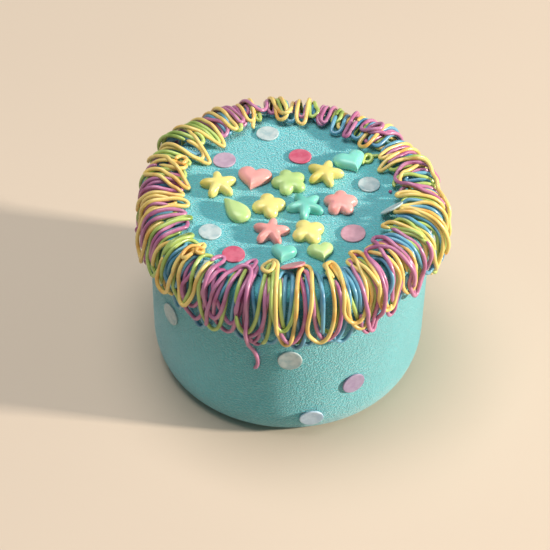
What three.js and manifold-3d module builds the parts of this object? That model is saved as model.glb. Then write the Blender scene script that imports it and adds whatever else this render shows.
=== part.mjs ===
// Round birthday cake: a sprayed body with a fringe of piped strands hung over its rim,
// puffy sugar ornaments on top and wafer discs on its top and side.
// Millimetres, +Z up, origin at the centre of the base, the front faces -Y.
import * as THREE from 'three';
import { mergeVertices } from 'three/addons/utils/BufferGeometryUtils.js';
import Module from 'manifold-3d';

const wasm = await Module();
wasm.setup();

// Driving dimensions
const cakeRadius = 73.3;
const cakeHeight = 104;
const baseTuck = 10; // how far the side draws in at the base
const baseTuckRise = 20; // the height over which it draws in
const topEdgeRadius = 5;
const topEdgeSteps = 2;
const facetsAround = 72;
const gap = 0.35; // clearance between pieces that touch

const strandDiameter = 2.2;
const strandSides = 4;
const fringeInner = 54.5; // reach of the strands towards the middle of the top
const fringeOuter = 79.9; // centre line of the lower strands where they stand out furthest
const fringeHang = 33; // longest hang below the top
const fringeRise = 3.4; // crown of the lower strands' centre line above the top
const innerRun = 8; // the strands rise to their crown over this distance from their inner turns
const coreDepth = 2.7; // the packed core lies this far inside that centre line at the side, less on top
const coreHang = 20.5; // the packed core reaches this far below the top
const coreInset = 1; // and its inner edge stands back this far from the inner turns
const coreLip = 1.2; // height of that inner edge
const fluteDepth = 0.3; // the core is fluted this deep
const loopWidening = 0.07; // share of the pitch that each leg of a loop stands wider than a plain wave
const loopRoundness = 3.4; // 2 gives a plain wave, more gives tighter turns on top and rounder loops
const strandLayers = [
  { loops: 26, steps: 15, lift: 0, phase: 0.1, lean: -0.3 },
  { loops: 24, steps: 15, lift: 2.9, phase: 0.6, lean: 0.35 },
];
const recessDepth = 6.3; // how far the fringe draws back to leave room for discs on the top
const coreRecess = 5; // and how far the core does

// Where it draws back: [azimuth, degrees to each side that it does so fully, degrees where that ends].
const recesses = [
  [-130, 12, 24],
  [104, 7, 14],
];

const ornamentHeight = 4.6;
const ornamentSegments = 20;

const discDiameter = 12.5;
const discThickness = 1;
const discSides = 14;
const discRoomGap = 0.45; // clearance between a disc and the strands round it

// Colours
const sprayedTurquoise = finish(0x7fc9c4, 0.85);
const strandYellow = finish(0xf3cf6a, 0.4);
const sugarColours = { yellow: 0xeedf7c, coral: 0xeda198, green: 0xbcdc8c, aqua: 0x7fd2bb };
const waferColours = {
  hotPink: 0xde5a88,
  lilac: 0xd7a2c4,
  white: 0xd8e8e2,
  palePink: 0xe2b0c0,
  coral: 0xe9929a,
};

const part = new THREE.Group();

function finish(color, roughness) {
  return new THREE.MeshStandardMaterial({ color, roughness, metalness: 0 });
}

// A repeatable draw between low and high.
function seededDraw(seed) {
  let state = seed;
  return (low, high) => {
    state = (state * 1664525 + 1013904223) % 4294967296;
    return low + (high - low) * (state / 4294967296);
  };
}

function addPiece(name, geometry, material) {
  const mesh = new THREE.Mesh(geometry, material);
  mesh.name = name;
  part.add(mesh);
  return mesh;
}

function plainMesh(geometry) {
  const copy = geometry.clone();
  copy.deleteAttribute('normal');
  copy.deleteAttribute('uv');
  return mergeVertices(copy, 1e-4);
}

function solidOf(geometry) {
  const merged = plainMesh(geometry);
  const vertProperties = Float32Array.from(merged.attributes.position.array);
  const triVerts = Uint32Array.from(merged.index.array);
  return new wasm.Manifold(new wasm.Mesh({ numProp: 3, vertProperties, triVerts }));
}

// The outer skin of a joined solid: hollows that the joining sealed are filled, loose scraps dropped.
function geometryOf(solid) {
  const [largest] = solid.decompose().sort((a, b) => b.volume() - a.volume());
  const mesh = largest.getMesh();
  const geometry = new THREE.BufferGeometry();
  geometry.setAttribute('position', new THREE.BufferAttribute(mesh.vertProperties, 3));
  geometry.setIndex(new THREE.BufferAttribute(mesh.triVerts, 1));
  return geometry;
}

// A lathe turned about the vertical axis.
function turned(profile, segments) {
  return new THREE.LatheGeometry(profile, segments).rotateX(Math.PI / 2);
}

// Points of a quarter ellipse from one angle to another, in the profile plane.
function quarter(centreR, centreZ, radiusR, radiusZ, fromAngle, toAngle, steps) {
  return Array.from({ length: steps + 1 }, (_, i) => {
    const angle = fromAngle + ((toAngle - fromAngle) * i) / steps;
    return new THREE.Vector2(centreR + radiusR * Math.cos(angle), centreZ + radiusZ * Math.sin(angle));
  });
}

// ---- Cake body ----

// The rounded top edge in the profile plane, grown by so much, from one angle to another.
function topEdge(grow, fromAngle, toAngle) {
  const centreR = cakeRadius - topEdgeRadius;
  const centreZ = cakeHeight - topEdgeRadius;
  const radius = topEdgeRadius + grow;
  return quarter(centreR, centreZ, radius, radius, fromAngle, toAngle, topEdgeSteps);
}

function cakeProfile() {
  const tuck = quarter(cakeRadius - baseTuck, baseTuckRise, baseTuck, baseTuckRise, -Math.PI / 2, 0, 4);
  const edge = topEdge(0, 0, Math.PI / 2);
  return [new THREE.Vector2(0, 0), ...tuck, ...edge, new THREE.Vector2(0, cakeHeight)];
}

// ---- Fringe ----

// The line that a strand follows over the rim, from its inner turn (s = 0) to its lowest point (s = 1).
const overRim = new THREE.SplineCurve([
  new THREE.Vector2(fringeInner, cakeHeight + 1.8),
  new THREE.Vector2(fringeInner + innerRun, cakeHeight + fringeRise),
  new THREE.Vector2(cakeRadius - 2, cakeHeight + fringeRise),
  new THREE.Vector2(fringeOuter - 3, cakeHeight - 2),
  new THREE.Vector2(fringeOuter, cakeHeight - 13),
  new THREE.Vector2(fringeOuter - 1.5, cakeHeight - 24),
  new THREE.Vector2(fringeOuter - 4, cakeHeight - fringeHang),
]);

// How far the fringe is drawn back at azimuth phi.
function recessAt(phi) {
  const depths = recesses.map(([degrees, full, end]) => {
    const away = Math.abs(THREE.MathUtils.radToDeg(phi) - degrees) % 360;
    return recessDepth * (1 - THREE.MathUtils.smoothstep(Math.min(away, 360 - away), full, end));
  });
  return Math.max(...depths);
}

// A point on that line at azimuth phi, raised by lift square to it.
function fringePoint(phi, s, lift) {
  const place = overRim.getPoint(THREE.MathUtils.clamp(s, 0, 1));
  const along = overRim.getTangent(THREE.MathUtils.clamp(s, 0, 1));
  const raise = lift * THREE.MathUtils.smoothstep(s, 0, 0.15);
  const r = place.x - along.y * raise;
  const z = place.y + along.x * raise;
  return new THREE.Vector3(r * Math.cos(phi), r * Math.sin(phi), z);
}

// The round section of a strand, with its corners out far enough to keep the area of the circle.
function strandSection(sides) {
  const share = (2 * Math.PI) / sides;
  const corner = (strandDiameter / 2) * Math.sqrt(share / Math.sin(share));
  const corners = Array.from({ length: sides }, (_, i) => {
    const angle = (2 * Math.PI * i) / sides;
    return new THREE.Vector2(corner * Math.cos(angle), corner * Math.sin(angle));
  });
  return new THREE.Shape(corners);
}

// A strand with one station at each point, so that tight turns get as many as long legs.
function strandAlong(points, sides) {
  const extrudePath = new THREE.CatmullRomCurve3(points);
  extrudePath.getUtoTmapping = (u) => u;
  return new THREE.ExtrudeGeometry(strandSection(sides), { extrudePath, steps: points.length - 1 });
}

// One layer: a single strand that zigzags round the cake, a tight turn on top and a loop hanging down.
function strandLayer(layer, draw) {
  const pitch = (2 * Math.PI) / layer.loops;
  const stretches = overRim.points.length - 1;
  const turns = Array.from({ length: layer.loops + 1 }, (_, i) => {
    const phi = pitch * (i + layer.phase + draw(-0.08, 0.08));
    return { phi, s: draw(0, 0.06) + recessAt(phi) / (innerRun * stretches) };
  });
  const stations = layer.loops * layer.steps - 4;
  const bellies = turns.map(() => ({ lean: pitch * (layer.lean + draw(-0.1, 0.1)), s: draw(0.8, 1) }));
  return Array.from({ length: stations }, (_, k) => {
    const i = Math.floor(k / layer.steps);
    const t = (k % layer.steps) / layer.steps;
    const down = 1 - Math.abs(Math.cos(Math.PI * t)) ** loopRoundness;
    const s = THREE.MathUtils.lerp(THREE.MathUtils.lerp(turns[i].s, turns[i + 1].s, t), bellies[i].s, down);
    const straight = THREE.MathUtils.lerp(turns[i].phi, turns[i + 1].phi, t);
    const phi = straight + bellies[i].lean * down - loopWidening * pitch * Math.sin(2 * Math.PI * t);
    return fringePoint(phi, s, layer.lift);
  });
}

// The packed strands underneath: a ring that hugs the rim, fluted like the strands that it stands for.
function fringeCore() {
  const under = cakeHeight + gap;
  const sideR = cakeRadius + gap;
  const inside = topEdge(gap, Math.PI / 2, 0);
  const outside = [0.68, 0.56, 0.44, 0.31, 0.19].map((s) => {
    const point = fringePoint(0, s, -coreDepth * Math.min(1, 0.6 + s));
    return new THREE.Vector2(point.x, point.z);
  });
  const foot = new THREE.Vector2(sideR, cakeHeight - coreHang);
  const toe = new THREE.Vector2(fringeInner + coreInset, under);
  const lip = new THREE.Vector2(toe.x + 1.3 * coreLip, under + coreLip); // the inner turns sink into this
  const profile = [toe, ...inside, foot, ...outside, lip, toe.clone()];
  const ring = turned(profile, facetsAround);
  const place = ring.attributes.position;
  const at = new THREE.Vector3();
  for (let i = 0; i < place.count; i += 1) {
    at.fromBufferAttribute(place, i);
    const r = Math.hypot(at.x, at.y);
    const phi = Math.atan2(at.y, at.x);
    const flute = Math.round((phi * facetsAround) / (2 * Math.PI)) % 2 === 0 ? fluteDepth : -fluteDepth;
    let out = 0;
    let up = 0;
    if (r <= lip.x + 0.1) out = Math.min(coreRecess, recessAt(phi));
    else if (r > sideR + 1) out = flute;
    else if (at.z > under + coreLip) up = 0.4 * flute;
    place.setXYZ(i, (at.x * (r + out)) / r, (at.y * (r + out)) / r, at.z + up);
  }
  return ring;
}

// A strand end that has run down the side from the fringe, ending in a small hook.
function strandDrip() {
  const phi = THREE.MathUtils.degToRad(-105);
  const nearSide = cakeRadius + 2.1;
  // [radius, height, distance round the side]
  const stations = [
    [fringeOuter - 1, cakeHeight - 12, 0],
    [fringeOuter - 3, cakeHeight - 22, 0],
    [nearSide + 0.8, cakeHeight - 31, 0.4],
    [nearSide, cakeHeight - 38, 0.9],
    [nearSide, cakeHeight - 44, 2.2],
    [nearSide, cakeHeight - 50, 2.6],
    [nearSide, cakeHeight - 53, 1.4],
  ];
  const points = stations.map(([r, z, across]) => {
    const turn = phi + across / r;
    return new THREE.Vector3(r * Math.cos(turn), r * Math.sin(turn), z);
  });
  return strandAlong(points, 5);
}

// ---- Wafer discs ----

// Discs lying flat on the top: [name, colour, x, y].
const topDiscs = [
  ['top_1', 'lilac', -35.4, 28],
  ['top_2', 'hotPink', 4.5, 32.3],
  ['top_3', 'white', -13, 50.9],
  ['top_4', 'white', 40.5, 10.7],
  ['top_5', 'palePink', 31.6, -27.4],
  ['top_6', 'white', -40.6, -28.4],
  ['top_7', 'hotPink', -28.2, -44.6],
];

// Discs stuck to the side: [name, colour, azimuth in degrees, height, degrees that the top leans out].
const sideDiscs = [
  ['side_1', 'white', -145.4, 59.1, 0],
  ['side_2', 'white', -89.2, 59.6, 0],
  ['side_3', 'lilac', -62.4, 34.9, 0],
  ['side_4', 'white', -79.8, 15.4, -11],
  ['side_5', 'hotPink', 28, 44, 0],
  ['side_6', 'palePink', 115, 52, 0],
];

// Discs stood against the fringe: [name, colour, x, y, height of the middle, way its top face looks].
const leaningDiscs = [
  ['leaning_1', 'coral', 1.4, -56.5, 5, new THREE.Vector3(-0.22, 0.545, 0.81)],
  ['leaning_2', 'white', 51.4, -12.7, 5.2, new THREE.Vector3(-0.5, 0.5, 0.71)],
];

const upwards = new THREE.Vector3(0, 0, 1);
const discLift = gap + discThickness / 2; // from what a disc lies on to the middle of the disc

function discGeometry(grow) {
  const radius = discDiameter / 2 + grow;
  const thickness = discThickness + 2 * grow;
  return new THREE.CylinderGeometry(radius, radius, thickness, discSides).rotateX(Math.PI / 2);
}

// Every disc on the top, lying or leaning, with its middle and the way it faces.
function discsOnTop() {
  const lying = topDiscs.map(([name, colour, x, y]) => {
    return { name, colour, centre: new THREE.Vector3(x, y, cakeHeight + discLift), face: upwards };
  });
  const leaning = leaningDiscs.map(([name, colour, x, y, height, face]) => {
    const centre = new THREE.Vector3(x, y, cakeHeight + height);
    return { name, colour, centre, face: face.clone().normalize() };
  });
  return [...lying, ...leaning];
}

function layDiscs() {
  for (const { name, colour, centre, face } of discsOnTop()) addDisc(name, colour, centre, face);
  for (const [name, colour, degrees, height, lean] of sideDiscs) {
    const phi = THREE.MathUtils.degToRad(degrees);
    const tilt = THREE.MathUtils.degToRad(lean);
    const outwards = new THREE.Vector3(Math.cos(phi), Math.sin(phi), 0);
    const face = outwards.clone().multiplyScalar(Math.cos(tilt)).setZ(Math.sin(tilt));
    const drawnIn = 1 - Math.min(1, height / baseTuckRise);
    const wallR = cakeRadius - baseTuck * (1 - Math.sqrt(1 - drawnIn * drawnIn));
    addDisc(name, colour, outwards.multiplyScalar(wallR + discLift).setZ(height), face);
  }
}

function addDisc(name, colour, centre, face) {
  const disc = addPiece(`disc_${name}`, discGeometry(0), finish(waferColours[colour], 0.5));
  disc.position.copy(centre);
  disc.quaternion.setFromUnitVectors(upwards, face);
}

// The room that a disc needs, cut out of the strands behind it.
function discRoom({ centre, face }) {
  const room = discGeometry(discRoomGap);
  room.applyQuaternion(new THREE.Quaternion().setFromUnitVectors(upwards, face));
  room.translate(centre.x, centre.y, centre.z);
  return room;
}

// ---- Puffy ornaments ----

// Outlines of the ornaments: a point at angle t, clockwise from the top, about 1 from the middle.
const outlines = {
  heart: (t) => {
    const x = Math.sin(t) ** 3;
    const y = (13 * Math.cos(t) - 5 * Math.cos(2 * t) - 2 * Math.cos(3 * t) - Math.cos(4 * t)) / 16;
    return [x, y + 0.12];
  },
  star: (t) => {
    const r = 0.73 + 0.27 * Math.cos(5 * t);
    return [r * Math.sin(t), r * Math.cos(t)];
  },
  flower: (t) => {
    const r = 0.62 + 0.38 * Math.abs(Math.cos(2.5 * t)) ** 0.8;
    return [r * Math.sin(t), r * Math.cos(t)];
  },
  clover: (t) => {
    const r = 0.55 + 0.45 * Math.abs(Math.cos(2 * t)) ** 0.8;
    return [r * Math.sin(t), r * Math.cos(t)];
  },
  drop: (t) => {
    const waist = Math.abs(Math.sin(t / 2)) ** 1.3;
    return [0.8 * Math.sin(t) * waist, Math.cos(t)];
  },
};

// [outline, colour, x, y, radius, turn in degrees]
const ornaments = [
  ['star', 'yellow', -37.5, 6.5, 9.8, 10],
  ['heart', 'coral', -19.5, 12, 8.8, -12],
  ['flower', 'green', -1, 9.5, 9.2, 20],
  ['star', 'yellow', 17.5, 17, 10, -16],
  ['heart', 'aqua', 31.5, 27, 8.6, 24],
  ['drop', 'green', -28.5, -12.5, 9.6, 38],
  ['clover', 'yellow', -11.2, -9.2, 8.6, 12],
  ['star', 'aqua', 7.5, -9, 9.8, 30],
  ['flower', 'coral', 25.5, -6, 8.8, 0],
  ['star', 'coral', -9.8, -29, 9.6, -8],
  ['clover', 'yellow', 9, -28.5, 8.6, 32],
  ['heart', 'aqua', -3.5, -45, 6.4, -10],
  ['heart', 'green', 15.5, -43.5, 6.6, 14],
];

// Shares of the radius and of the height, from the middle of the underside to the crown.
const puffProfile = [
  [0, 0],
  [0.9, 0],
  [1, 0.3],
  [0.9, 0.72],
  [0.6, 0.95],
  [0, 1],
];

function puffyOrnament(outline, radius) {
  const profile = puffProfile.map(([share, rise]) => {
    return new THREE.Vector2(share * radius, rise * ornamentHeight);
  });
  const puff = turned(profile, ornamentSegments);
  const place = puff.attributes.position;
  for (let i = 0; i < place.count; i += 1) {
    const r = Math.hypot(place.getX(i), place.getY(i));
    const [across, up] = outlines[outline](Math.atan2(place.getX(i), place.getY(i)));
    place.setXY(i, across * r, up * r);
  }
  return puff;
}

function layOrnaments() {
  ornaments.forEach(([outline, colour, x, y, radius, degrees], i) => {
    const sugar = finish(sugarColours[colour], 0.45);
    const piece = addPiece(`ornament_${i + 1}_${outline}`, puffyOrnament(outline, radius), sugar);
    piece.position.set(x, y, cakeHeight + gap);
    piece.rotation.z = THREE.MathUtils.degToRad(degrees);
  });
}

function buildFringe() {
  const draw = seededDraw(2);
  let fringe = solidOf(fringeCore());
  for (const layer of strandLayers) {
    fringe = fringe.add(solidOf(strandAlong(strandLayer(layer, draw), strandSides)));
  }
  fringe = fringe.add(solidOf(strandDrip()));
  for (const disc of discsOnTop()) fringe = fringe.subtract(solidOf(discRoom(disc)));
  return geometryOf(fringe);
}

addPiece('cake', turned(cakeProfile(), facetsAround), sprayedTurquoise);
addPiece('fringe', buildFringe(), strandYellow);
layOrnaments();
layDiscs();

export default part;
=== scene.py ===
import math
import random

import bpy
import numpy as np
from mathutils import Matrix, Vector


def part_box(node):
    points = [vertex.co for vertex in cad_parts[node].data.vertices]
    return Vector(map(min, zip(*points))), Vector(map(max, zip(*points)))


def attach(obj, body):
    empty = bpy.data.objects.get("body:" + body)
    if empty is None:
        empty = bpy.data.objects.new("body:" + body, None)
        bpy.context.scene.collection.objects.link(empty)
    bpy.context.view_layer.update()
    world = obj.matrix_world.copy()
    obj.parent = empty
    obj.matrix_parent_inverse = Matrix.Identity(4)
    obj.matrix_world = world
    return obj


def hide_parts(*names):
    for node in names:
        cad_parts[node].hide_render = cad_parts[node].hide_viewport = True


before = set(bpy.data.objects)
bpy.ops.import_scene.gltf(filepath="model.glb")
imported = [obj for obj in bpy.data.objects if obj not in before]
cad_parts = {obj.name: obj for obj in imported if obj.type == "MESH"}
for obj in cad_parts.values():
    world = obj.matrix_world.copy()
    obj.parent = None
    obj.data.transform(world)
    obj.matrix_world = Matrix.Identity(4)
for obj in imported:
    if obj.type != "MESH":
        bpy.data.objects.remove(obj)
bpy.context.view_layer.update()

cakeLow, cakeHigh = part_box("cake")
cakeRadius = (cakeHigh.x - cakeLow.x) / 2
cakeTop = cakeHigh.z
mm = 0.001


def clearSelection():
    if bpy.context.object and bpy.context.object.mode != "OBJECT":
        bpy.ops.object.mode_set(mode="OBJECT")
    bpy.ops.object.select_all(action="DESELECT")


def pick(piece):
    clearSelection()
    piece.select_set(True)
    bpy.context.view_layer.objects.active = piece


def applyModifiers(piece):
    pick(piece)
    for modifier in list(piece.modifiers):
        bpy.ops.object.modifier_apply(modifier=modifier.name)


def settle(piece):  # its place and turn go into its mesh
    pick(piece)
    bpy.ops.object.transform_apply(location=True, rotation=True, scale=True)


def mergeAndFaceOut(piece, distance=0.01 * mm):
    pick(piece)
    bpy.ops.object.mode_set(mode="EDIT")
    bpy.ops.mesh.select_all(action="SELECT")
    bpy.ops.mesh.remove_doubles(threshold=distance)
    bpy.ops.mesh.normals_make_consistent(inside=False)
    bpy.ops.object.mode_set(mode="OBJECT")


def finishPiece(piece, material, slotName, *nodes):
    piece.data.materials.clear()
    piece.data.materials.append(material)
    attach(piece, "root")
    if nodes:
        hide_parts(*nodes)
    clearSelection()


def toLinear(hexColour):
    channels = [int(hexColour[i:i + 2], 16) / 255 for i in (1, 3, 5)]
    return tuple(c / 12.92 if c <= 0.04045 else ((c + 0.055) / 1.055) ** 2.4 for c in channels) + (1.0,)


def toned(hexColour, factor):  # the same colour, lighter or darker
    return tuple(min(1.0, c * factor) for c in toLinear(hexColour)[:3]) + (1.0,)


def newMaterial(name):
    material = bpy.data.materials.new(name)
    material.use_nodes = True
    nodes = material.node_tree.nodes
    where = nodes.new("ShaderNodeTexCoord")
    return material, nodes, material.node_tree.links, nodes["Principled BSDF"], where


def noiseNode(nodes, links, where, scale, detail=2.0, roughness=0.5):
    noise = nodes.new("ShaderNodeTexNoise")
    noise.inputs["Scale"].default_value = scale
    noise.inputs["Detail"].default_value = detail
    noise.inputs["Roughness"].default_value = roughness
    links.new(where.outputs["Object"], noise.inputs["Vector"])
    return noise


def rampNode(nodes, links, source, stops):
    ramp = nodes.new("ShaderNodeValToRGB")
    first, last = ramp.color_ramp.elements[0], ramp.color_ramp.elements[1]
    first.position, first.color = stops[0]
    last.position, last.color = stops[-1]
    for place, colour in stops[1:-1]:
        ramp.color_ramp.elements.new(place).color = colour
    links.new(source, ramp.inputs["Fac"])
    return ramp


def bumpNode(nodes, links, height, strength, distance, under=None):
    bump = nodes.new("ShaderNodeBump")
    bump.inputs["Strength"].default_value = strength
    bump.inputs["Distance"].default_value = distance
    links.new(height, bump.inputs["Height"])
    if under:
        links.new(under.outputs["Normal"], bump.inputs["Normal"])
    return bump


def capitalised(word):  # hotPink becomes HotPink
    return word[0].upper() + word[1:]


def mottledMaterial(name, tone, look):  # two tones of a colour in patches, over a finely uneven skin
    material, nodes, links, shader, where = newMaterial(name)
    patches = noiseNode(nodes, links, where, *look["patches"])
    deepAt, colourAt, lightAt = look["stops"]
    ramp = rampNode(nodes, links, patches.outputs["Fac"], [
        (deepAt, toLinear(tone["deep"])),
        (colourAt, toLinear(tone["colour"])),
        (lightAt, toned(tone["colour"], look["lighter"])),
    ])
    links.new(ramp.outputs["Color"], shader.inputs["Base Color"])
    skin = noiseNode(nodes, links, where, look["skinScale"])
    bump = bumpNode(nodes, links, skin.outputs["Fac"], look["skinStrength"], look["skinDepth"])
    links.new(bump.outputs["Normal"], shader.inputs["Normal"])
    shader.inputs["Roughness"].default_value = look["roughness"]
    shader.inputs["Coat Weight"].default_value = look["coat"]
    shader.inputs["Coat Roughness"].default_value = look["coatRoughness"]
    shader.inputs["Subsurface Weight"].default_value = look["glow"]
    shader.inputs["Subsurface Radius"].default_value = look["glowRadius"]
    shader.inputs["Subsurface Scale"].default_value = look["glowDepth"]
    return material


cameraSettings = {
    "place": (-0.0051, -0.6972, 0.7129),
    "aim": (-0.0075, -0.0016, 0.050),
    "roll": 1.01,  # degrees
    "lens": 117.3,
    "sensor": 36.0,
}


def makeCamera():
    clearSelection()
    bpy.ops.object.camera_add(location=cameraSettings["place"])
    camera = bpy.context.object
    camera.name = "camera"
    camera.data.lens = cameraSettings["lens"]
    camera.data.sensor_width = cameraSettings["sensor"]
    along = Vector(cameraSettings["aim"]) - Vector(cameraSettings["place"])
    turn = along.to_track_quat("-Z", "Y").to_matrix()
    roll = Matrix.Rotation(math.radians(cameraSettings["roll"]), 3, "Z")
    camera.rotation_euler = (turn @ roll).to_euler()
    bpy.context.scene.camera = camera
    print("camera set")


makeCamera()


bodySettings = {
    "facets": 256,
    "tuckIn": 10 * mm,
    "tuckUp": 20 * mm,
    "topEdge": 5 * mm,
    "footRings": 14,
    "sideRings": 40,
    "edgeRings": 6,
    "topRings": 26,
    "unevenness": 0.5 * mm,
    "unevenSize": 0.045,  # width of the dents and swells
    "stillBelow": 2 * mm,  # the foot stays even up to here
    "stillFade": 20 * mm,  # and the side is fully uneven this much above it
    "colour": "#5bc3cc",
    "grainScale": 1050,
    "speckle": 0.75,
    "sheen": 0.8,
    "roughness": 0.7,
}


def coatingMaterial():  # sprayed cocoa butter: a fine velvet grain over soft swells, its lightest specks painted glints
    material, nodes, links, shader, where = newMaterial("sprayedCoating")
    tone = bodySettings["colour"]
    cloud = noiseNode(nodes, links, where, 28, 3)
    cloudStops = [(0.3, toned(tone, 0.93)), (0.7, toned(tone, 1.06))]
    ramp = rampNode(nodes, links, cloud.outputs["Fac"], cloudStops)
    grain = noiseNode(nodes, links, where, bodySettings["grainScale"], 2, 0.6)
    # the grain's own darker and lighter specks, and at the top of the ramp, above the base colour,
    # painted glints where light catches the grains
    grainAndGlintStops = [(0.34, (0.78, 0.82, 0.82, 1)), (0.55, (1, 1, 1, 1)), (0.68, (1.5, 1.3, 1.28, 1))]
    grainToneAndGlints = rampNode(nodes, links, grain.outputs["Fac"], grainAndGlintStops)
    speckle = nodes.new("ShaderNodeMix")
    speckle.data_type = "RGBA"
    speckle.blend_type = "MULTIPLY"
    speckle.inputs["Factor"].default_value = bodySettings["speckle"]
    links.new(ramp.outputs["Color"], speckle.inputs[6])
    links.new(grainToneAndGlints.outputs["Color"], speckle.inputs[7])
    links.new(speckle.outputs[2], shader.inputs["Base Color"])
    swell = noiseNode(nodes, links, where, 160, 2)
    soft = bumpNode(nodes, links, swell.outputs["Fac"], 0.2, 0.4 * mm)
    fine = bumpNode(nodes, links, grain.outputs["Fac"], 1.0, 1.4 * mm, soft)
    links.new(fine.outputs["Normal"], shader.inputs["Normal"])
    shader.inputs["Roughness"].default_value = bodySettings["roughness"]
    shader.inputs["Sheen Weight"].default_value = bodySettings["sheen"]
    shader.inputs["Sheen Roughness"].default_value = 0.45
    shader.inputs["Subsurface Weight"].default_value = 0.08
    shader.inputs["Subsurface Radius"].default_value = (0.6, 1.0, 1.0)
    shader.inputs["Subsurface Scale"].default_value = 2 * mm
    return material


def bodyRadiusAt(height):
    drawnIn = 1 - min(1.0, height / bodySettings["tuckUp"])
    return cakeRadius - bodySettings["tuckIn"] * (1 - math.sqrt(1 - drawnIn ** 2))


def bodyStations():  # radius and height of each ring, from the foot to the edge of the top
    tuckUp, edge = bodySettings["tuckUp"], bodySettings["topEdge"]
    footRings, sideRings, edgeRings = (bodySettings[part + "Rings"] for part in ("foot", "side", "edge"))
    stations = []
    for i in range(1, footRings + 1):
        height = tuckUp * (1 - math.cos(math.pi / 2 * i / footRings))
        stations.append((bodyRadiusAt(height), height))
    for i in range(1, sideRings + 1):
        stations.append((cakeRadius, tuckUp + (cakeTop - edge - tuckUp) * i / sideRings))
    for i in range(1, edgeRings + 1):
        angle = math.pi / 2 * i / edgeRings
        r, z = cakeRadius - edge * (1 - math.cos(angle)), cakeTop - edge * (1 - math.sin(angle))
        stations.append((r, z))
    return stations


def extrudeRing(rise, scale):
    bpy.ops.mesh.extrude_region_move(TRANSFORM_OT_translate={"value": (0, 0, rise)})
    bpy.ops.transform.resize(value=(scale, scale, 1))


def makeBody():
    clearSelection()
    foot = cakeRadius - bodySettings["tuckIn"]
    bpy.ops.mesh.primitive_circle_add(vertices=bodySettings["facets"], radius=foot, fill_type="NGON")
    body = bpy.context.object
    body.name = "cakeBody"
    bpy.ops.object.mode_set(mode="EDIT")
    bpy.ops.mesh.select_all(action="SELECT")
    lastR, lastZ = foot, 0.0
    for r, z in bodyStations():
        extrudeRing(z - lastZ, r / lastR)
        lastR, lastZ = r, z
    for i in range(bodySettings["topRings"], 0, -1):  # the flat top gets rings too, so that it can swell
        extrudeRing(0, i / (i + 1))
    bpy.ops.mesh.poke()
    bpy.ops.object.mode_set(mode="OBJECT")
    mergeAndFaceOut(body)
    loose = body.vertex_groups.new(name="aboveFoot")
    for vertex in body.data.vertices:
        share = (vertex.co.z - bodySettings["stillBelow"]) / bodySettings["stillFade"]
        loose.add([vertex.index], min(1.0, max(0.0, share)), "REPLACE")
    swell = bpy.data.textures.new("bodySwell", "CLOUDS")
    swell.noise_scale = bodySettings["unevenSize"]
    uneven = body.modifiers.new("uneven", "DISPLACE")
    uneven.texture = swell
    uneven.texture_coords = "LOCAL"
    uneven.vertex_group = "aboveFoot"
    uneven.strength = bodySettings["unevenness"]
    applyModifiers(body)
    bpy.ops.object.shade_smooth()
    finishPiece(body, coatingMaterial(), "cake_coating", "cake")
    print("body done:", len(body.data.vertices), "points")


makeBody()


strandSettings = {
    "radius": 1.06 * mm,
    "roundness": 4,  # bevel resolution of the strands
    "spacing": 1.1 * mm,  # distance between the sections of a strand
    "loops": 28,
    "press": 0.6,  # how little a soft strand sinks into the one below, 1 is not at all
    "slope": 0.5,  # steepest climb of a strand over another
    "fresh": 4.5 * mm,  # a strand lies on itself where it comes back after at least this length
    "looseSpacing": 0.7 * mm,  # the same distance on strands laid by themselves
    "drift": 0.2,  # how far the loops stray round the cake, as a share of a loop
    "turnDrift": 0.18,  # and the turns on top besides
    "skew": 1.5,  # how much further in one end of a turn on top may lie, in millimetres
    "standOut": (0.2, 0.8),  # how far the loops stand out: mean and spread in millimetres
    "hangRadius": 77 * mm,  # where the loops hang, for the angle that their width takes up
    "discRoom": 0.6 * mm,  # room between a strand and the middle of a disc that leans on it
    "discReach": 7.3 * mm,  # how far from a leaning disc's middle strands make room
    "thickness": 0.1,  # how much a strand's thickness changes along it
    "ends": (0.45, 0.85),  # thickness of the last two sections, which round off its ends
    "seed": 11,
    "look": {
        "patches": (90, 2), "stops": (0.25, 0.5, 0.8), "lighter": 1.1,
        "skinScale": 420, "skinStrength": 0.25, "skinDepth": 0.3 * mm,
        "roughness": 0.34, "coat": 0.28, "coatRoughness": 0.2,
        "glow": 0.15, "glowRadius": (1.0, 0.7, 0.5), "glowDepth": 1.0 * mm,
    },
}

# How the fringe changes round the cake: azimuth in degrees, and in millimetres how far the strands
# rise over the rim, how far the loops stand out and how much lower they hang.
strandReach = [
    (-172, 0, 0, -1),
    (-150, 0, 0, -3.5),
    (-134, 0, 0, -3),
    (-120, 0, 0, -1),
    (-100, 0, 0.3, 0),
    (-60, 2, 0.3, -0.5),
    (-50, 3.5, 0, -2),
    (-36, 4.5, 0.5, -2.5),
    (-27, 5, 2.0, -4),
    (-12, 4.2, 2.6, -2.8),
    (2, 3.4, -0.6, 0),
    (14, 2.8, -0.8, 0),
    (25, 1.5, 0, 0),
    (35, 1, 0, 0),
    (60, 2.2, 1.2, 0),
    (85, 2.8, 2.5, 0),
    (118, 4.2, 4.5, 0),
    (150, 4, 4.5, 0),
    (168, 1, 1.2, 0),
]

# Where the turns on top draw back: azimuth, degrees to each side that they do so fully, degrees
# where that ends, and how far in millimetres.
strandRecesses = [
    (-130, 12, 24, 6.0),
    (104, 7, 14, 6.0),
    (28, 3, 9, 2.5),
    (78, 4, 10, 3.0),
    (158, 3, 8, 2.5),
]

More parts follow.
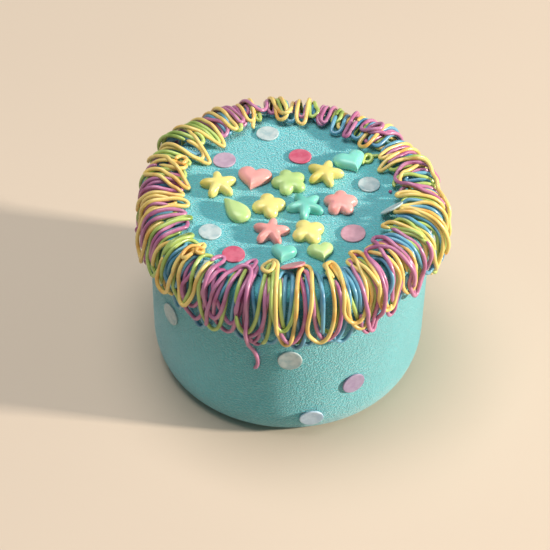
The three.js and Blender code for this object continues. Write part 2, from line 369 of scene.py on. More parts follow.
# The bare line over the rim: radius and height of each point, from the middle of the top outwards.
rimLine = [
    (40 * mm, cakeTop),
    (56 * mm, cakeTop),
    (66 * mm, cakeTop),
    (70.6 * mm, cakeTop - 0.4 * mm),
    (73.8 * mm, cakeTop - 3.2 * mm),
    (75.2 * mm, cakeTop - 8 * mm),
    (75.6 * mm, cakeTop - 15 * mm),
    (75.2 * mm, cakeTop - 24 * mm),
    (74.3 * mm, cakeTop - 33 * mm),
    (73.5 * mm, cakeTop - 43 * mm),
    (73.35 * mm, cakeTop - 60 * mm),
]

# The points that lead one loop, first the turn on top and then the part that hangs. Lengths run along
# the rim line, and shares are of the width or of the rise or stand-out at that place.
loopShape = {
    "turnEnd": 4 * mm,  # from a turn's innermost line out to its ends
    "turnTip": 0.4 * mm,  # and in to its tip
    "tipWidth": 0.8,
    "endRise": 1.1,
    "tipRise": 0.6,
    "crown": 0.4,  # share of the way down at which a strand is highest
    "crownTurn": 0.6,  # there the strand has still this share of the turn's width
    "neck": 11 * mm,  # the hanging loop is at full width this far above its lowest part
    "neckOut": 0.7,
    "belly": 2.8 * mm,  # and starts to round off this far above it
    "bellyWidth": 0.66,
    "low": 1.8 * mm,
    "wayBack": 0.2,  # how far on the way back the strand is at its highest, as a share of a loop
    "backWidth": 0.55,
}

# How a strand that is laid by itself climbs over the others, in millimetres: from this radius on the
# top over this length, and back down over this drop. share is how much of their rise it takes up.
climbOver = {"from": 50, "over": 14, "down": 20, "share": 0.8}

# Each pass lays strands once round the cake, in the colours named, an equal share to each from the
# right hand side on, by way of the back. phase is the share of a loop by which it is turned against
# the first, so that the loops of the passes lie between one another. inner and hang are in
# millimetres: how far in the turns on top reach (radius), and how far the loops hang below the top.
# turn and wide are half the width in millimetres of the turns on top and of the hanging loops.
strandPasses = [
    {"phase": 0.0, "inner": (58, 64), "hang": (23, 33), "turn": (1.6, 3.0), "wide": (4.5, 6.5),
     "lean": -0.1,
     "colours": ["blue", "yellow", "blue", "pink", "blue", "green", "blue", "blue", "blue", "yellow"]},
    {"phase": 0.4, "inner": (57, 63), "hang": (21, 32), "turn": (1.6, 3.0), "wide": (4.5, 6.5),
     "lean": 0.1,
     "colours": ["green", "green", "blue", "green", "blue", "yellow", "pink", "green", "green",
                 "green"]},
    {"phase": 0.8, "inner": (56, 62), "hang": (19, 31), "turn": (1.6, 3.2), "wide": (4.5, 7),
     "lean": -0.1,
     "colours": ["blue", "pink", "pink", "blue", "pink", "blue", "pink", "blue", "pink", "green"]},
    {"phase": 0.2, "inner": (54.5, 60), "hang": (18, 29), "turn": (1.6, 3.4), "wide": (5, 7.5),
     "lean": 0.1,
     "colours": ["pink", "blue", "green", "pink", "green", "pink", "green", "pink", "yellow", "blue"]},
    {"phase": 0.6, "inner": (53, 57), "hang": (17, 27), "turn": (1.6, 3.4), "wide": (5, 7.5),
     "lean": 0.0,
     "colours": ["green", "yellow", "yellow", "pink", "yellow", "yellow", "yellow", "green",
                 "yellow", "pink", "yellow", "green", "yellow", "pink", "green", "yellow",
                 "yellow", "pink", "yellow", "yellow"]},
]

# Strands laid by themselves, before and after the passes. Each point is an azimuth in degrees and a
# radius on the top in millimetres or, below zero, a drop from the top.
firstStrands = [
    ("blue", [(-133, 66), (-132.5, -3), (-132, -14), (-131, -25), (-129, -33), (-126.5, -35.5),
              (-124, -33), (-122.5, -25), (-121.5, -14), (-121, -3), (-120.5, 66)]),
    ("blue", [(-143, 66), (-142.5, -3), (-142, -14), (-141, -24), (-139.5, -30), (-137.8, -32),
              (-136, -30), (-135, -22), (-134.5, -12), (-134, -3), (-134, 66)]),
]
lastStrands = [
    ("pink", [(-121.5, -27), (-120.6, -17), (-119.4, -6), (-118.4, 73), (-116.4, 67), (-113, 63),
              (-109.8, 61.4), (-107.2, 63), (-106.2, 68), (-105.8, 74), (-105.4, -8), (-105.2, -16),
              (-104.9, -24), (-104.6, -31), (-104.2, -36), (-103.2, -39.5), (-102, -43.5),
              (-101.6, -47.5), (-102.2, -51), (-103.4, -52)]),
    ("yellow", [(-83.6, 58), (-86, 62), (-87.2, 70), (-87.5, -5), (-87.8, -15), (-88.8, -24),
                (-91.2, -29), (-93.6, -24), (-94.5, -15), (-94.8, -5), (-95.2, 71), (-95.6, 65),
                (-95.8, 60), (-96.4, 53.6), (-99.4, 49), (-103, 51.6), (-104, 58), (-101.8, 64),
                (-98.2, 63.6), (-97.4, 58.4), (-98.8, 55)]),
    ("green", [(36, 57.5), (37.6, 54.6), (39.6, 51.6), (39.4, 48.8), (36.6, 48), (34.6, 50),
               (35.8, 53), (39, 53), (40, 50), (37, 47), (35, 45.8)]),
    ("yellow", [(163, 60), (160, 58.5), (157.6, 59), (156.6, 61.6), (158, 64), (161, 64)]),
    ("yellow", [(139, -9), (140, -2), (142.6, 68), (145.6, 60), (147.4, 53), (149.6, 48.6),
                (152.4, 51), (153.6, 58), (153, 66), (151.4, 73), (150.4, -6), (150.6, -13)]),
    ("yellow", [(143, 73), (140.4, 64), (137, 56), (134.4, 51), (132, 53), (131.6, 61), (131.8, 69),
                (132.4, -3), (132.6, -10)]),
    ("pink", [(112, -12), (111, -3), (109.5, 70), (107.5, 66), (105, 64.5), (102.5, 66), (101, 70),
              (100, -3), (99.5, -10)]),
    ("yellow", [(100, -14), (99.5, -4), (98.5, 70), (97, 65), (95, 60.5), (92, 60), (90.5, 64),
                (90, 70), (89.5, -4), (89, -12)]),
    ("pink", [(40, -6), (41, 70), (44, 64), (48, 61), (51, 64), (50, 69), (46, 70), (44, 66),
              (47, 62), (52, 60), (55, 64), (55, 70), (54, -4), (53.5, -10)]),
    ("yellow", [(20, -10), (19, -2), (17, 66), (14, 59), (9, 56), (4.5, 59), (2, 67), (0.5, -8),
                (-1, -18), (-3.6, -23), (-6.6, -18), (-8, -5), (-9, 66), (-12, 58), (-15, 56.5),
                (-17, 60), (-17.6, 68), (-18, -5), (-18, -14)]),
    ("pink", [(9, -2), (12, 74), (16.3, 72), (19.6, 67), (19.1, 61), (14.8, 55), (7.3, 54.8),
              (3.1, 60), (1.6, 66), (-1, 72), (-3, -4), (-5, -12)]),
    ("yellow", [(30, 66), (28.5, 56), (26, 50), (22.5, 51), (24, 59), (22.5, 66), (19, 70),
                (14, 71.5), (8, 72), (2, 73), (-3, -3), (-6, -8), (-8, -15)]),
    ("yellow", [(158, -6), (159, 73), (164, 64), (171, 56), (176.5, 52), (178, 54.5), (173, 61),
                (168, 69), (168.5, 74), (171, 72), (176, 63), (180.5, 56), (183.5, 55), (184, 58),
                (182, 66), (181, 74), (180, -5), (180, -12)]),
    ("pink", [(-40, -12), (-41, -3), (-43, 68), (-47, 61), (-50, 58), (-53, 61), (-54, 68),
              (-54.5, -4), (-55, -14), (-56, -24), (-58, -29), (-60.5, -24), (-61.5, -14),
              (-62, -4), (-62, 70), (-62, 64), (-61, 60)]),
]

# Short strands that lie on the pile or on the top: colour, middle, and points round that in millimetres.
strandKnots = [
    ("yellow", (-47.8, -48.8), [(-6.6, -2.4), (-5, 0.3), (-2.4, 2.2), (0.4, 1.5), (0.6, -1.4),
                                (-1.8, -2.4), (-3.8, -0.6), (-2.4, 2), (1.4, 3.1), (4.8, 1.7),
                                (5.2, -1.4), (2.6, -2.8), (0.8, -1), (2.2, 1.2), (4.8, 0.4)]),
    ("pink", (51.4, 5.2), [(-0.8, 0), (-0.2, 0.3), (0.4, 0), (0.8, 0.4)]),
    ("yellow", (-20.8, 57), [(0.6, 6), (-0.2, 3), (0.5, 0.4), (-0.3, -2.2), (0.1, -4.4)]),
]

# Discs that peep out from under the strands: x and y in millimetres.
tuckedWafers = {
    "palePink": (-7.7, -66.8),
    "white": (-41.6, -57.4),
}
tuckedRoom = {"reach": 6.5 * mm, "height": 1.3 * mm}  # what the strands lie over there

# Discs stood against the fringe: node, colour, x, y, height of the middle above the top, way it faces.
leaningWafers = [
    ("leaning_1", "coral", 1.4, -56.5, 5, (-0.22, 0.545, 0.81)),
    ("leaning_2", "white", 51.4, -12.7, 5.2, (-0.5, 0.5, 0.71)),
]

strandTones = {
    "yellow": {"slot": "strand_yellow", "colour": "#eace7a", "deep": "#dd9f44"},
    "pink": {"slot": "strand_pink", "colour": "#bd7b9f", "deep": "#a3477a"},
    "blue": {"slot": "strand_blue", "colour": "#66a4be", "deep": "#38709a"},
    "green": {"slot": "strand_green", "colour": "#b3c96f", "deep": "#84a047"},
}


def rimTable(step=0.25 * mm, parts=24):  # the rim line smoothed, with a row for each step along it
    points = np.array(rimLine)
    ends = np.vstack([2 * points[0] - points[1], points, 2 * points[-1] - points[-2]])
    t = np.linspace(0, 1, parts, endpoint=False)[:, None]
    dense = []
    for a, b, c, d in zip(ends, ends[1:], ends[2:], ends[3:]):  # a smooth curve through all points
        square = a - 2.5 * b + 2 * c - d / 2
        cube = 1.5 * (b - c) + (d - a) / 2
        dense.append(b + t * (c - a) / 2 + t**2 * square + t**3 * cube)
    line = np.concatenate(dense)
    run = np.concatenate([[0], np.cumsum(np.hypot(*np.diff(line, axis=0).T))])
    along = np.arange(0, run[-1], step)
    r, z = np.interp(along, run, line[:, 0]), np.interp(along, run, line[:, 1])
    tangent = np.gradient(np.c_[r, z], axis=0)
    tangent /= np.linalg.norm(tangent, axis=1)[:, None]
    return {"s": along, "r": r, "z": z, "outR": -tangent[:, 1], "outZ": tangent[:, 0]}


rim = rimTable()


def onRim(phi, s, lift):  # the points at these angles and distances along the rim line, raised by lift
    r = np.interp(s, rim["s"], rim["r"]) + lift * np.interp(s, rim["s"], rim["outR"])
    z = np.interp(s, rim["s"], rim["z"]) + lift * np.interp(s, rim["s"], rim["outZ"])
    return np.c_[r * np.cos(phi), r * np.sin(phi), z]


def alongAtRadius(radius):
    top = slice(0, int(np.argmax(rim["r"])))
    return float(np.interp(radius, rim["r"][top], rim["s"][top]))


def alongAtDrop(drop):
    side = rim["z"] < cakeTop - 1 * mm
    return float(np.interp(drop, cakeTop - rim["z"][side], rim["s"][side]))


# How high the strands are piled, in cells of half a millimetre along the rim line and as wide round it.
pile = {"cell": 0.5 * mm, "around": 1000}
pile["height"] = np.zeros((pile["around"], int(rim["s"][-1] / pile["cell"]) + 2))


def pileCells(phi, s, reach):
    r = float(np.interp(s, rim["s"], rim["r"]))
    cell, around = pile["cell"], pile["around"]
    width = 2 * math.pi / around
    row, column = s / cell, (phi % (2 * math.pi)) / width
    spanS, spanPhi = math.ceil(reach / cell), math.ceil(reach / (r * width))
    rows = np.clip(np.arange(int(row) - spanS, int(row) + spanS + 1), 0, pile["height"].shape[1] - 1)
    columns = np.arange(int(column) - spanPhi, int(column) + spanPhi + 1)
    across, down = (columns - column) * width * r, (rows - row) * cell
    return np.ix_(columns % around, rows), np.sqrt(across[:, None] ** 2 + down[None, :] ** 2)


def restsAt(phi, s):  # how high the middle of a strand lies on what is piled there
    radius = strandSettings["radius"]
    cells, far = pileCells(phi, s, radius)
    bow = np.sqrt(np.clip(radius**2 - far**2, 0, None)) * strandSettings["press"]
    return float(np.max(np.where(far < 0.9 * radius, pile["height"][cells] + bow, 0)))


def addToPile(phi, s, lift, radius):
    cells, far = pileCells(phi, s, radius)
    before = pile["height"][cells]
    top = lift + np.sqrt(np.clip(radius**2 - far**2, 0, None))
    pile["height"][cells] = np.where(far < radius, np.maximum(before, top), before)


def throughPoints(points, steps=12):  # a smooth line led by the points, without their corners
    knots = np.array(points)
    t = np.arange(steps)[:, None] / steps
    weights = np.c_[(1 - t) ** 3, 3 * t**3 - 6 * t**2 + 4, -3 * t**3 + 3 * t**2 + 3 * t + 1, t**3] / 6
    return np.concatenate([weights @ knots[i:i + 4] for i in range(len(knots) - 3)])


def recessAt(phi):  # how far the turns on top are drawn back at this angle
    depths = [0.0]
    for azimuth, full, end, depth in strandRecesses:
        away = abs((math.degrees(phi) - azimuth + 180) % 360 - 180)
        t = min(1.0, max(0.0, (away - full) / (end - full)))
        depths.append(depth * mm * (1 - t * t * (3 - 2 * t)))
    return max(depths)


def reachAt(phi):  # rise, reach and change of hang at this angle
    azimuths, *changes = zip(*strandReach)
    return [float(np.interp(math.degrees(phi), azimuths, change, period=360)) * mm for change in changes]


def wavePath(layer, draw):  # one strand round the cake, as angles and distances along the rim line
    loops, shape = strandSettings["loops"], loopShape
    pitch = 2 * math.pi / loops
    start = pitch * layer["phase"]
    stray, turnStray = strandSettings["drift"], strandSettings["turnDrift"]
    points = []
    drift = 0.0
    for i in range(loops):
        drift = 0.6 * drift + draw.uniform(-stray, stray)
        turnAt = start + pitch * (i + 0.5 * drift + draw.uniform(-turnStray, turnStray))
        hangAt = start + pitch * (i + 0.5 + layer["lean"] + drift)
        rise, reach, lower = reachAt(hangAt)
        inner = draw.uniform(*layer["inner"]) * mm + recessAt(turnAt)
        top = alongAtRadius(inner)
        bottom = alongAtDrop(draw.uniform(*layer["hang"]) * mm + lower)
        turn = draw.uniform(*layer["turn"]) * mm / inner
        wide = draw.uniform(*layer["wide"]) * mm / strandSettings["hangRadius"]
        swing = max(0.0, draw.gauss(*strandSettings["standOut"])) * mm + reach
        skew = draw.uniform(-strandSettings["skew"], strandSettings["skew"]) * mm
        end, tip = top + shape["turnEnd"], top - shape["turnTip"]
        tipTurn, neckSwing = shape["tipWidth"] * turn, swing * shape["neckOut"]
        neck, belly = bottom - shape["neck"], bottom - shape["belly"]
        bellyWide = shape["bellyWidth"] * wide
        crown = top * (1 - shape["crown"]) + bottom * shape["crown"]
        crownAt = turnAt * (1 - shape["crown"]) + shape["crown"] * hangAt
        points += [
            (turnAt - turn, end, rise * shape["endRise"]),
            (turnAt - tipTurn, tip + skew, rise * shape["tipRise"]),
            (turnAt + tipTurn, tip - skew, rise * shape["tipRise"]),
            (turnAt + turn, end, rise * shape["endRise"]),
            (crownAt + shape["crownTurn"] * turn - shape["crown"] * wide, crown, rise),
            (hangAt - wide, neck, neckSwing),
            (hangAt - bellyWide, belly, swing),
            (hangAt, bottom + shape["low"], swing),
            (hangAt + bellyWide, belly, swing),
            (hangAt + wide, neck, neckSwing),
            (hangAt + shape["wayBack"] * pitch + shape["backWidth"] * wide, crown, rise),
        ]
    return throughPoints(points)


def fromEndToEnd(points):  # the same smooth line, reaching the first and the last point
    return throughPoints([points[0]] * 2 + points + [points[-1]] * 2)


def loosePath(stations):
    share = climbOver["share"]
    points = []
    for azimuth, reach in stations:
        rise, swing, _ = reachAt(math.radians(azimuth))
        if reach > 0:  # it climbs to the crown of the pile
            s = alongAtRadius(reach * mm)
            swing = rise * min(share, max(0.0, (reach - climbOver["from"]) / climbOver["over"]))
        else:
            s = alongAtDrop(-reach * mm)
            swing += (share * rise - swing) * max(0.0, 1 + reach / climbOver["down"])
        points.append((math.radians(azimuth), s, swing))
    return fromEndToEnd(points)


def knotPath(middle, stations):
    points = []
    for x, y in stations:
        x, y = (middle[0] + x) * mm, (middle[1] + y) * mm
        points.append((math.atan2(y, x), alongAtRadius(math.hypot(x, y)), 0))
    return fromEndToEnd(points)


def evenly(line, spacing):  # the same path with equal steps
    phi, s, swing = line.T
    r = np.interp(s, rim["s"], rim["r"])
    run = np.concatenate([[0], np.cumsum(np.hypot(np.diff(s), np.diff(phi) * (r[1:] + r[:-1]) / 2))])
    at = np.linspace(0, run[-1], max(4, int(run[-1] / spacing) + 1))
    return np.interp(at, run, phi), np.interp(at, run, s), np.interp(at, run, swing)


def smooth(values, width):
    reach = int(width * 3)
    kernel = np.exp(-0.5 * (np.arange(-reach, reach + 1) / width) ** 2)
    padded = np.concatenate([np.full(reach, values[0]), values, np.full(reach, values[-1])])
    return np.convolve(padded, kernel / kernel.sum(), "valid")


def layStrand(line, draw, spacing=strandSettings["spacing"]):  # its points and widths, on the pile
    phi, s, swing = evenly(line, spacing)
    radius = strandSettings["radius"]
    raw = np.zeros(len(phi))
    behind = math.ceil(strandSettings["fresh"] / spacing)
    for i in range(len(phi)):
        if i >= behind:  # what lies that far back can be crossed
            addToPile(phi[i - behind], s[i - behind], raw[i - behind], radius)
        raw[i] = restsAt(phi[i], s[i])
    climb = strandSettings["slope"] * spacing
    for i in range(1, len(raw)):  # a strand spans a dip, it doesn't drop straight into it
        raw[i] = max(raw[i], raw[i - 1] - climb)
    for i in range(len(raw) - 2, -1, -1):
        raw[i] = max(raw[i], raw[i + 1] - climb)
    lift = smooth(np.maximum(smooth(raw, 2.0), raw * 0.85), 1.4)
    for atPhi, atS, atLift in zip(phi, s, lift):
        addToPile(atPhi, atS, atLift, radius)
    wander = np.array([draw.uniform(-1, 1) for _ in range(len(phi))])
    widths = 1 + strandSettings["thickness"] * smooth(wander, 3)
    return clearOfDiscs(onRim(phi, s, lift + swing)), widths


def clearOfDiscs(path):  # strands go behind or before the discs that lean on them, not through
    room = strandSettings["radius"] + strandSettings["discRoom"]
    for _ in range(4):  # eased on the way, so it takes a few goes
        push = np.zeros_like(path)
        for _, _, x, y, height, face in leaningWafers:
            normal = np.array(Vector(face).normalized())
            away = path - np.array((x * mm, y * mm, cakeTop + height * mm))
            ahead = away @ normal
            beside = np.linalg.norm(away - ahead[:, None] * normal, axis=1)
            near = (beside < strandSettings["discReach"]) & (np.abs(ahead) < room)
            push += np.where(near, np.where(ahead > 0, room, -room) - ahead, 0)[:, None] * normal
        path = path + np.column_stack([smooth(push[:, axis], 1.2) for axis in range(3)])
    return path


def strandPiece(tone, runs):  # all strands of one colour, as tubes along their paths
    clearSelection()
    bpy.ops.curve.primitive_bezier_curve_add()
    piece = bpy.context.object
    piece.name = "strands" + capitalised(tone)
    curve = piece.data
    curve.splines.clear()
    curve.dimensions = "3D"
    curve.bevel_depth = strandSettings["radius"]
    curve.bevel_resolution = strandSettings["roundness"]
    curve.use_fill_caps = True
    for path, widths in runs:
        widths = widths.copy()
        for k, share in enumerate(strandSettings["ends"]):
            widths[k] *= share
            widths[-1 - k] *= share
        spline = curve.splines.new("POLY")
        spline.points.add(len(path) - 1)
        spline.points.foreach_set("co", np.c_[path, np.ones(len(path))].ravel())
        spline.points.foreach_set("radius", widths)
    bpy.ops.object.convert(target="MESH")
    mergeAndFaceOut(piece, 0.001 * mm)
    bpy.ops.object.shade_smooth()
    material = mottledMaterial("piped" + capitalised(tone), strandTones[tone], strandSettings["look"])
    finishPiece(piece, material, strandTones[tone]["slot"], "fringe")
    print(tone, "strands done:", len(piece.data.polygons), "faces")


def makeFringe():
    draw = random.Random(strandSettings["seed"])
    runs = {tone: [] for tone in strandTones}
    for x, y in tuckedWafers.values():  # the strands lie over these
        phi, s = math.atan2(y, x), alongAtRadius(math.hypot(x, y) * mm)
        cells, far = pileCells(phi, s, tuckedRoom["reach"])
        height = pile["height"][cells]
        pile["height"][cells] = np.where(far < tuckedRoom["reach"], tuckedRoom["height"], height)
    for tone, stations in firstStrands:
        runs[tone].append(layStrand(loosePath(stations), draw))
    for layer in strandPasses:
        path, widths = layStrand(wavePath(layer, draw), draw)
        colours = layer["colours"]
        share = len(path) / len(colours)
        first = 0
        for i, tone in enumerate(colours):  # neighbours of one colour stay one strand
            if i + 1 == len(colours) or colours[i + 1] != tone:
                part = slice(int(first * share), int((i + 1) * share))
                runs[tone].append((path[part], widths[part]))
                first = i + 1
        highest = float(pile["height"].max() / mm)
        print("strand laid:", len(path), "sections, piled", round(highest, 1), "mm")
    spacing = strandSettings["looseSpacing"]
    for tone, stations in lastStrands:
        runs[tone].append(layStrand(loosePath(stations), draw, spacing))
    for tone, middle, stations in strandKnots:
        runs[tone].append(layStrand(knotPath(middle, stations), draw, spacing))
    for tone in strandTones:
        strandPiece(tone, runs[tone])


makeFringe()


ornamentSettings = {
    "height": 5.2 * mm,
    "corners": 120,
    # shares across and up
    "profile": [(0.9, 0), (1.0, 0.28), (0.95, 0.6), (0.8, 0.85), (0.55, 0.97), (0.2, 1.0)],
    "voxel": 0.42 * mm,
    "smoothing": 22,
    "softness": 0.7,
    "grow": 1.06,  # the outline is drawn this much larger, because smoothing pulls its tips in
    "flatFoot": 1.2 * mm,  # smoothing fades out over this height above the foot
    "gap": 0.1 * mm,
    "look": {
        "patches": (60, 2), "stops": (0.3, 0.55, 0.8), "lighter": 1.08,
        "skinScale": 900, "skinStrength": 0.15, "skinDepth": 0.2 * mm,
        "roughness": 0.36, "coat": 0.25, "coatRoughness": 0.25,
        "glow": 0.4, "glowRadius": (1.0, 0.9, 0.6), "glowDepth": 2.5 * mm,
    },
}

# Outline, colour, x and y in millimetres, radius in millimetres, turn in degrees.
ornaments = [
    ("star", "yellow", -37.5, 6.5, 9.8, 10),
    ("heart", "coral", -19.5, 12, 8.8, -12),
    ("flower", "green", -1, 9.5, 9.2, 20),
    ("star", "yellow", 17.5, 17, 10, -16),
    ("heart", "aqua", 31.5, 27, 8.6, 24),
    ("drop", "green", -28.5, -12.5, 9.6, 38),
    ("clover", "yellow", -11.2, -9.2, 8.6, 12),
    ("star", "aqua", 7.5, -9, 9.8, 30),
    ("flower", "coral", 25.5, -6, 8.8, 0),
    ("star", "coral", -9.8, -29, 9.6, -8),
    ("clover", "yellow", 9, -28.5, 8.6, 32),
    ("heart", "aqua", -3.5, -45, 6.4, -10),
    ("heart", "green", 15.5, -43.5, 6.6, 14),
]

sugarTones = {
    "yellow": {"slot": "sugar_yellow", "colour": "#ece08a", "deep": "#ddcb66"},
    "coral": {"slot": "sugar_coral", "colour": "#efaaa4", "deep": "#e28f88"},
    "green": {"slot": "sugar_green", "colour": "#bfdb94", "deep": "#a1c572"},
    "aqua": {"slot": "sugar_aqua", "colour": "#86d5c6", "deep": "#60baac"},
}


def outlinePoint(outline, t):  # about 1 from the middle, t clockwise from the top
    if outline == "heart":
        up = (13 * math.cos(t) - 5 * math.cos(2 * t) - 2 * math.cos(3 * t) - math.cos(4 * t)) / 16
        return math.sin(t) ** 3, up + 0.12
    if outline == "drop":
        return 0.8 * math.sin(t) * abs(math.sin(t / 2)) ** 1.3, math.cos(t)
    if outline == "star":
        r = 0.73 + 0.27 * math.cos(5 * t)
    elif outline == "flower":
        r = 0.62 + 0.38 * abs(math.cos(2.5 * t)) ** 0.8
    else:
        r = 0.55 + 0.45 * abs(math.cos(2 * t)) ** 0.8
    return r * math.sin(t), r * math.cos(t)


def makeOrnament(number, outline, tone, x, y, radius, turn, material):
    clearSelection()
    corners = ornamentSettings["corners"]
    bpy.ops.mesh.primitive_circle_add(vertices=corners, radius=1, fill_type="NGON")
    piece = bpy.context.object
    piece.name = f"sugar{outline.capitalize()}{number}"
    size = radius * mm * ornamentSettings["grow"]
    across, up = ornamentSettings["profile"][0]
    for i, vertex in enumerate(piece.data.vertices):
        px, py = outlinePoint(outline, 2 * math.pi * i / corners)
        vertex.co = (px * size * across, py * size * across, 0)
    bpy.ops.object.mode_set(mode="EDIT")
    bpy.ops.mesh.select_all(action="SELECT")
    for nextAcross, nextUp in ornamentSettings["profile"][1:]:
        extrudeRing((nextUp - up) * ornamentSettings["height"], nextAcross / across)
        across, up = nextAcross, nextUp
    bpy.ops.object.mode_set(mode="OBJECT")
    mergeAndFaceOut(piece)
    melt = piece.modifiers.new("melt", "REMESH")
    melt.mode = "VOXEL"
    melt.voxel_size = ornamentSettings["voxel"]
    applyModifiers(piece)
    free = piece.vertex_groups.new(name="free")
    for vertex in piece.data.vertices:
        share = vertex.co.z / ornamentSettings["flatFoot"]
        free.add([vertex.index], min(1.0, max(0.0, share)), "REPLACE")
    soften = piece.modifiers.new("soften", "SMOOTH")
    soften.factor = ornamentSettings["softness"]
    soften.iterations = ornamentSettings["smoothing"]
    soften.vertex_group = "free"
    applyModifiers(piece)
    bpy.ops.object.shade_smooth()
    piece.location = (x * mm, y * mm, cakeTop + ornamentSettings["gap"])
    piece.rotation_euler = (0, 0, math.radians(turn))
    settle(piece)
    finishPiece(piece, material, sugarTones[tone]["slot"], f"ornament_{number}_{outline}")


def makeOrnaments():
    look = ornamentSettings["look"]
    materials = {tone: mottledMaterial("sugar" + capitalised(tone), sugarTones[tone], look)
                 for tone in sugarTones}
    for i, (outline, tone, x, y, radius, turn) in enumerate(ornaments):
        makeOrnament(i + 1, outline, tone, x, y, radius, turn, materials[tone])
    print("ornaments done:", len(ornaments))


makeOrnaments()


waferSettings = {
    "radius": 6.25 * mm,
    "thickness": 1.0 * mm,
    "facets": 48,
    "dip": 0.12 * mm,  # the face is pressed in by this much
    "border": (0.9 * mm, 1.8 * mm),  # width of the border, and of the slope inside it
    "edge": 0.3 * mm,
    "outOfRound": 0.03,
    "warp": 0.08 * mm,
    "gap": 0.1 * mm,
    "tuckedGap": 0.2 * mm,
    "tuckedLean": 0.006,  # outward lean of a tucked disc for each millimetre from the middle
    "seed": 5,
    "look": {
        "patches": (230, 3, 0.6), "stops": (0.35, 0.52, 0.72), "lighter": 1.15,
        "skinScale": 330, "skinStrength": 0.3, "skinDepth": 0.25 * mm,
        "roughness": 0.42, "coat": 0.0, "coatRoughness": 0.03,
        "glow": 0.25, "glowRadius": (1.0, 0.8, 0.8), "glowDepth": 1.0 * mm,
    },
}

waferTones = {
    "hotPink": {"slot": "wafer_hot_pink", "colour": "#cb6a80", "deep": "#c3526e"},
    "lilac": {"slot": "wafer_lilac", "colour": "#b9a1b5", "deep": "#ae92aa"},
    "mauve": {"slot": "wafer_lilac", "colour": "#a596b3", "deep": "#9985a8"},
    "white": {"slot": "wafer_white", "colour": "#bccbcc", "deep": "#9dbbc0"},
    # a copy of the white disc tone, tinted blue for the cool shade low on the front side: painted shade
    "iceBlue": {"slot": "wafer_white", "colour": "#bdd3e6", "deep": "#a9c3dc"},
    "palePink": {"slot": "wafer_pale_pink", "colour": "#cc9fac", "deep": "#c08d9d"},
    "coral": {"slot": "wafer_coral", "colour": "#dc8f98", "deep": "#cf7c88"},
}

# Discs lying on the top: node, colour, x and y in millimetres, size as a share of the full one.
topWafers = [
    ("top_1", "lilac", -35.4, 28, 0.97),
    ("top_2", "hotPink", 4.5, 32.3, 0.95),
    ("top_3", "white", -13, 50.9, 0.95),
    ("top_4", "white", 40.5, 10.7, 0.92),
    ("top_5", "palePink", 31.6, -27.4, 1.03),
    ("top_6", "white", -40.6, -28.4, 0.92),
    ("top_7", "hotPink", -28.2, -44.6, 0.93),
]

# Discs stuck to the side: node, colour, azimuth in degrees, height in millimetres, lean in degrees.
sideWafers = [
    ("side_1", "white", -145.4, 59.1, 0),
    ("side_2", "white", -89.2, 59.6, 0),
    ("side_3", "mauve", -62.4, 34.9, 0),
    # this white disc takes the blue-tinted copy of white: painted shade
    ("side_4", "iceBlue", -79.8, 15.4, -11),
    ("side_5", "hotPink", 28, 44, 0),
    ("side_6", "palePink", 115, 52, 0),
]


def modelWafer():  # one disc with a soft edge, lying at the origin
    clearSelection()
    radius, thickness = waferSettings["radius"], waferSettings["thickness"]
    bpy.ops.mesh.primitive_circle_add(vertices=waferSettings["facets"], radius=radius, fill_type="NGON")
    wafer = bpy.context.object
    wafer.name = "wafer"
    bpy.ops.object.mode_set(mode="EDIT")
    bpy.ops.mesh.select_all(action="SELECT")
    bpy.ops.mesh.extrude_region_move(TRANSFORM_OT_translate={"value": (0, 0, thickness)})
    border, slope = waferSettings["border"]
    bpy.ops.mesh.inset(thickness=border, depth=0)
    bpy.ops.mesh.inset(thickness=slope, depth=-waferSettings["dip"])
    bpy.ops.mesh.poke()
    bpy.ops.object.mode_set(mode="OBJECT")
    mergeAndFaceOut(wafer)
    edge = wafer.modifiers.new("edge", "BEVEL")
    edge.width = waferSettings["edge"]
    edge.segments = 3
    edge.limit_method = "ANGLE"
    edge.angle_limit = math.radians(50)
    applyModifiers(wafer)
    bpy.ops.object.shade_smooth_by_angle(angle=math.radians(40))
    return wafer


# foot is the middle of its back, face the way that it faces
def placeWafer(wafer, name, tone, foot, face, draw, materials, *nodes, size=1.0):
    copy = wafer.copy()
    copy.data = wafer.data.copy()
    copy.name = name
    bpy.context.collection.objects.link(copy)
    stretch, spin = draw.uniform(0, waferSettings["outOfRound"]), draw.uniform(0, math.pi)
    half = waferSettings["thickness"] / 2
    for vertex in copy.data.vertices:  # none is quite round or quite flat
        angle = math.atan2(vertex.co.y, vertex.co.x) + spin
        vertex.co.x *= size * (1 + stretch * math.cos(2 * angle))
        vertex.co.y *= size * (1 + stretch * math.cos(2 * angle + 1))
        vertex.co.z += waferSettings["warp"] * math.cos(angle) * (vertex.co.z > half)
    copy.rotation_euler = Vector(face).to_track_quat("Z", "Y").to_euler()
    copy.location = foot
    settle(copy)
    finishPiece(copy, materials[tone], waferTones[tone]["slot"], *nodes)


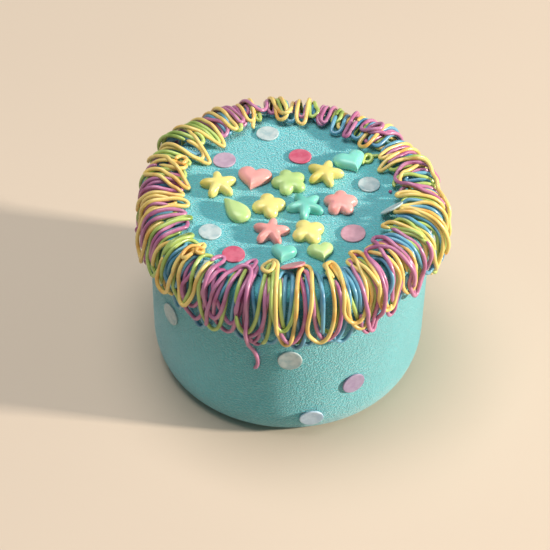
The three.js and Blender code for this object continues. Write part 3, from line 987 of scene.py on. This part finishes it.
def makeWafers():
    draw = random.Random(waferSettings["seed"])
    look = waferSettings["look"]
    materials = {tone: mottledMaterial("wafer" + capitalised(tone), waferTones[tone], look)
                 for tone in waferTones}
    wafer = modelWafer()
    gap, half = waferSettings["gap"], waferSettings["thickness"] / 2
    for node, tone, x, y, size in topWafers:
        foot = Vector((x * mm, y * mm, cakeTop + gap))
        placeWafer(wafer, "wafer_" + node, tone, foot, (0, 0, 1), draw, materials, "disc_" + node,
                   size=size)
    for node, tone, azimuth, height, lean in sideWafers:
        phi, tilt = math.radians(azimuth), math.radians(lean)
        out = math.cos(tilt)
        face = Vector((math.cos(phi) * out, math.sin(phi) * out, math.sin(tilt)))
        r = bodyRadiusAt(height * mm) + gap
        foot = Vector((r * math.cos(phi), r * math.sin(phi), height * mm))
        placeWafer(wafer, "wafer_" + node, tone, foot, face, draw, materials, "disc_" + node)
    for node, tone, x, y, height, face in leaningWafers:
        foot = Vector((x * mm, y * mm, cakeTop + height * mm)) - half * Vector(face).normalized()
        placeWafer(wafer, "wafer_" + node, tone, foot, face, draw, materials, "disc_" + node)
    for i, (tone, (x, y)) in enumerate(tuckedWafers.items()):
        foot = Vector((x * mm, y * mm, cakeTop + waferSettings["tuckedGap"]))
        face = (waferSettings["tuckedLean"] * x, waferSettings["tuckedLean"] * y, 1)
        placeWafer(wafer, f"wafer_tucked_{i + 1}", tone, foot, face, draw, materials)
    bpy.data.objects.remove(wafer)
    print("wafers done")


makeWafers()


lightSettings = {
    "azimuth": -8.3,  # degrees from +X, the side that the main light comes from
    "elevation": 20,
    "distance": 2.4,
    "size": 0.16,
    "power": 87,
    "colour": (1.0, 0.9, 0.79),
    "overheadPlace": (-0.2, 0.1, 1.9),
    "overheadPower": 28,
    "overheadColour": (1.0, 0.94, 0.92),
    "overheadSize": 1.2,
    "skyColour": (0.6, 0.87, 0.98),
    "skyStrength": 0.2,
    "floorColour": "#d3c2ae",
    "floorSize": 12,
    "floorRoughness": 0.8,
}


def addLamp(name, place, aim, size, power, colour):
    clearSelection()
    bpy.ops.object.light_add(type="AREA", location=place)
    lamp = bpy.context.object
    lamp.name = name
    lamp.data.size = size
    lamp.data.energy = power
    lamp.data.color = colour
    lamp.rotation_euler = (Vector(aim) - Vector(place)).to_track_quat("-Z", "Y").to_euler()


def makeFloor():
    clearSelection()
    bpy.ops.mesh.primitive_plane_add(size=lightSettings["floorSize"])
    floor = bpy.context.object
    floor.name = "floor"
    material, nodes, links, shader, where = newMaterial("paleFloor")
    cloud = noiseNode(nodes, links, where, 3, 2)
    tone = lightSettings["floorColour"]
    cloudStops = [(0.3, toned(tone, 0.98)), (0.7, toned(tone, 1.02))]
    ramp = rampNode(nodes, links, cloud.outputs["Fac"], cloudStops)
    links.new(ramp.outputs["Color"], shader.inputs["Base Color"])
    shader.inputs["Roughness"].default_value = lightSettings["floorRoughness"]
    floor.data.materials.append(material)


def makeLight():
    turn, rise = math.radians(lightSettings["azimuth"]), math.radians(lightSettings["elevation"])
    out = math.cos(rise)
    away = Vector((out * math.cos(turn), out * math.sin(turn), math.sin(rise)))
    middle = Vector((0, 0, cakeTop * 0.6))
    addLamp("mainLight", away * lightSettings["distance"], middle, lightSettings["size"],
            lightSettings["power"], lightSettings["colour"])
    addLamp("overheadLight", lightSettings["overheadPlace"], middle, lightSettings["overheadSize"],
            lightSettings["overheadPower"], lightSettings["overheadColour"])
    world = bpy.data.worlds.new("softSky")
    world.use_nodes = True
    sky = world.node_tree.nodes["Background"]
    sky.inputs["Color"].default_value = (*lightSettings["skyColour"], 1)
    sky.inputs["Strength"].default_value = lightSettings["skyStrength"]
    bpy.context.scene.world = world
    bpy.context.scene.view_settings.view_transform = "Standard"
    print("floor and light set")


makeFloor()
makeLight()
